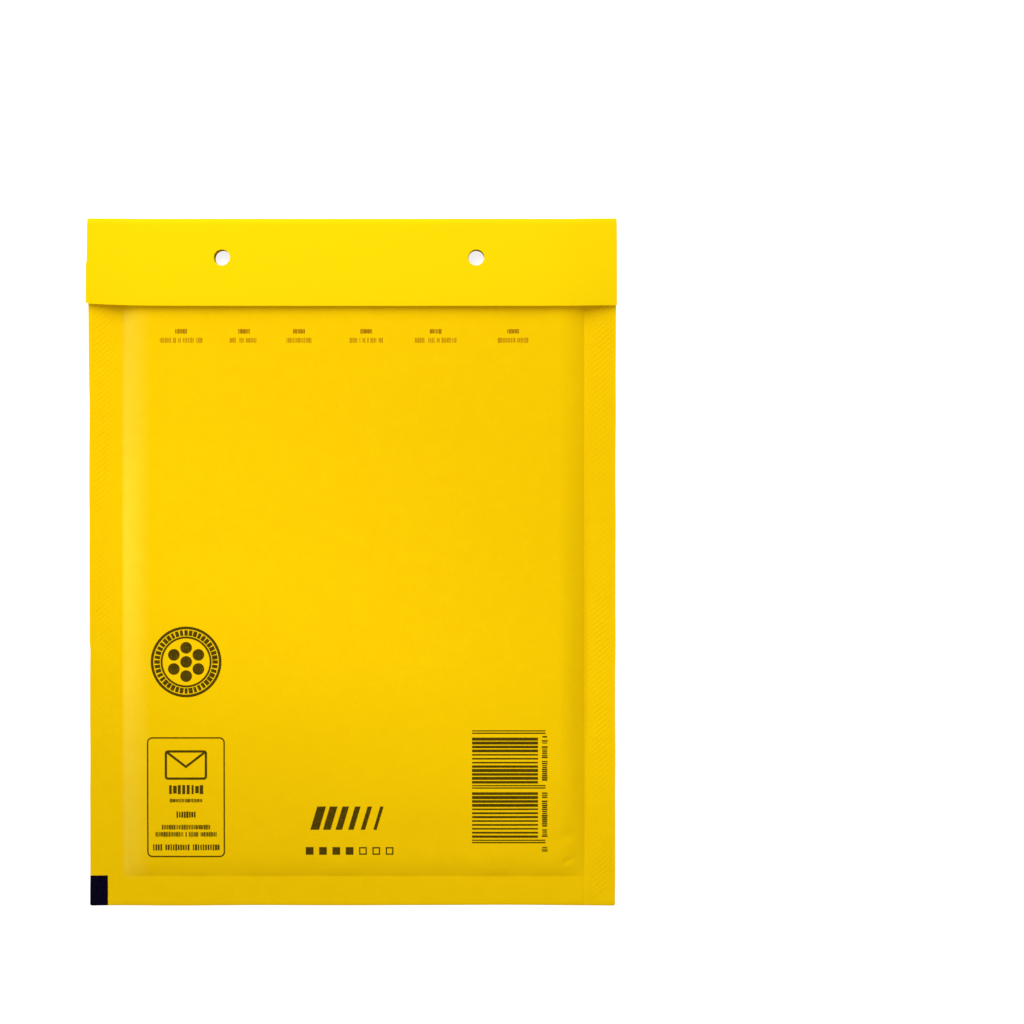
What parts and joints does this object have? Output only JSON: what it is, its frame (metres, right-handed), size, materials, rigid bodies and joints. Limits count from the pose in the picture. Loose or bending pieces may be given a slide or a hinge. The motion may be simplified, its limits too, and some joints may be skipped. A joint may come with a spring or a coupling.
{
  "type": "padded envelope",
  "caption": "Flat paper mailing envelope with a bubble film lining, bonded side seams, punched holes and a peel-and-seal flap folded over its mouth.",
  "frame": {"origin": "under the middle of the envelope, on the surface that it lies on", "axes": "+X to the right on the printed front, +Y up to the flap fold, +Z out of the front"},
  "size_m": [0.2064, 0.268, 0.0073],
  "materials": {
    "yellow_kraft_paper": "matt smooth kraft paper",
    "bubble_film": "clear glossy film",
    "clear_hot_melt": "glossy tacky hot melt",
    "silicone_paper": "smooth siliconised paper"
  },
  "bodies": {
    "root": {"paper_shell": "yellow_kraft_paper", "bubble_lining": "bubble_film", "adhesive_strip": "clear_hot_melt", "release_liner": "silicone_paper"}
  },
  "joints": []
}
